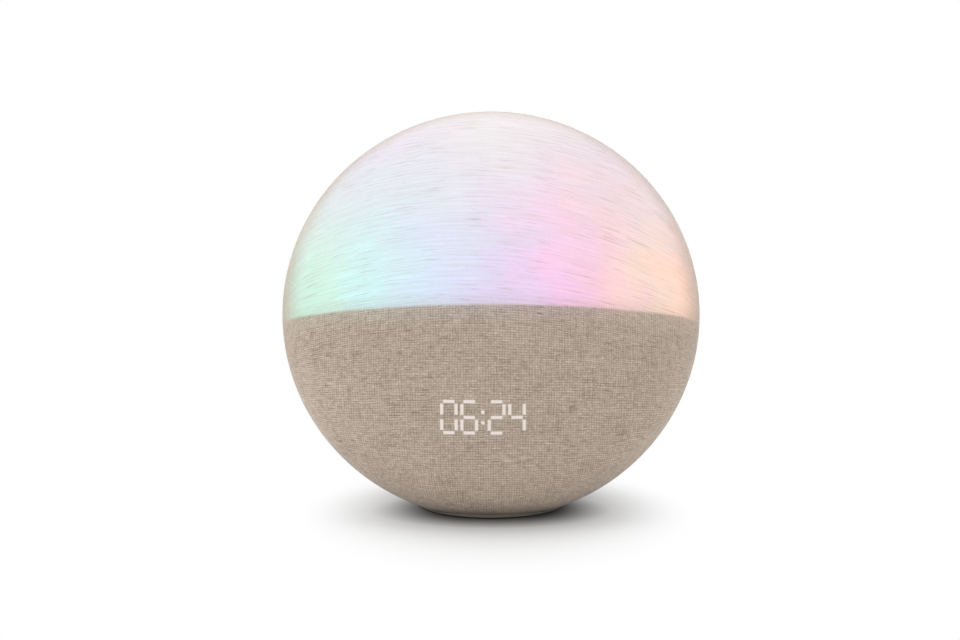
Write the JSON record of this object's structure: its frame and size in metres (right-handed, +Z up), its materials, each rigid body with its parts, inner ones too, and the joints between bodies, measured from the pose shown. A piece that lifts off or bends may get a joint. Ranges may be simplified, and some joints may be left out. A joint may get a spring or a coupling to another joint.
{
  "type": "sunrise alarm clock",
  "caption": "Round lens-shaped bedside light with a cloth front, a display low on the face, a moulded back with speaker grille, buttons and power inlet, leaning back on a small foot.",
  "frame": {"origin": "on the table, under the middle of the bounding box", "axes": "+Z up, the face looks towards -Y and leans back, +X to the right of someone who looks at the face"},
  "size_m": [0.206, 0.1114, 0.1976],
  "materials": {
    "cover_fabric": "woven putty-coloured cloth, lit from inside above the seam",
    "opal_plastic": "opal white, satin",
    "dark_plastic": "dark, opaque, fine-grained",
    "white_plastic": "white, opaque",
    "board_white": "white solder mask on aluminium",
    "led_phosphor": "yellow phosphor under clear resin",
    "screw_steel": "zinc-plated steel",
    "light_pipe": "clear acrylic, frosted ends",
    "board_green": "green solder mask",
    "shell_plastic": "putty-coloured, fine-grained",
    "foot_rubber": "black, soft",
    "foam": "black foam ring",
    "speaker_metal": "black painted steel",
    "cone_paper": "black coated paper",
    "magnet_metal": "dark ferrite",
    "key_plastic": "putty-coloured, satin",
    "black_plastic": "black, glass-filled",
    "switch_metal": "tinned steel case",
    "cable_grey": "grey ribbon",
    "cable_red": "red insulated pair",
    "cable_yellow": "yellow insulated pair"
  },
  "bodies": {
    "housing": {"fabric_cover": "cover_fabric", "light_diffuser": "opal_plastic", "lower_baffle": "dark_plastic", "light_divider": "white_plastic", "reflector_tray": "white_plastic", "led_board": "board_white", "led_chips": "led_phosphor", "led_screws": "screw_steel", "display_mask": "dark_plastic", "display_segments": "light_pipe", "display_board": "board_green", "display_leds": "led_phosphor", "mid_frame": "white_plastic", "front_screws": "screw_steel", "rear_shell": "shell_plastic", "base_pan": "shell_plastic", "rubber_foot": "foot_rubber", "base_screws": "screw_steel", "speaker_grille": "shell_plastic", "speaker_gasket": "foam", "speaker_frame": "speaker_metal", "speaker_cone": "cone_paper", "speaker_magnet": "magnet_metal", "speaker_screws": "screw_steel", "top_board_left": "board_green", "top_board_right": "board_green", "key_board_left": "board_green", "key_board_right": "board_green", "tact_switches": "black_plastic", "alarm_switch_body": "switch_metal", "dc_jack": "black_plastic", "main_board": "board_green", "main_board_chips": "black_plastic", "wifi_module": "switch_metal", "board_screws": "screw_steel", "display_cable": "cable_grey", "led_cable": "cable_red", "speaker_cable": "cable_yellow", "power_cable": "black_plastic", "key_cables": "cable_grey"},
    "top_button_left": {"top_button_left": "key_plastic"},
    "top_button_right": {"top_button_right": "key_plastic"},
    "brightness_key": {"brightness_key": "key_plastic"},
    "volume_key": {"volume_key": "key_plastic"},
    "alarm_knob": {"alarm_switch_knob": "black_plastic"}
  },
  "joints": [
    {"name": "top_button_left_press", "type": "slide", "parent": "housing", "child": "top_button_left", "axis": [0.1723, -0.8236, -0.5403], "range_m": [0, 0.0006], "stiffness_N_per_m": 500, "springref_m": -0.001},
    {"name": "top_button_right_press", "type": "slide", "parent": "housing", "child": "top_button_right", "axis": [-0.1723, -0.8236, -0.5403], "range_m": [0, 0.0006], "stiffness_N_per_m": 500, "springref_m": -0.001},
    {"name": "brightness_key_rock", "type": "hinge", "parent": "housing", "child": "brightness_key", "pos_m": [-0.09023, 0.02123, 0.11188], "axis": [0.561, 0.7545, -0.3404], "range_deg": [-1.8, 1.8], "stiffness_Nm_per_rad": 0.2},
    {"name": "volume_key_rock", "type": "hinge", "parent": "housing", "child": "volume_key", "pos_m": [0.09023, 0.02123, 0.11188], "axis": [-0.561, 0.7545, -0.3404], "range_deg": [-1.8, 1.8], "stiffness_Nm_per_rad": 0.2},
    {"name": "alarm_switch_slide", "type": "slide", "parent": "housing", "child": "alarm_knob", "axis": [1, 0, 0], "range_m": [0, 0.004]}
  ]
}
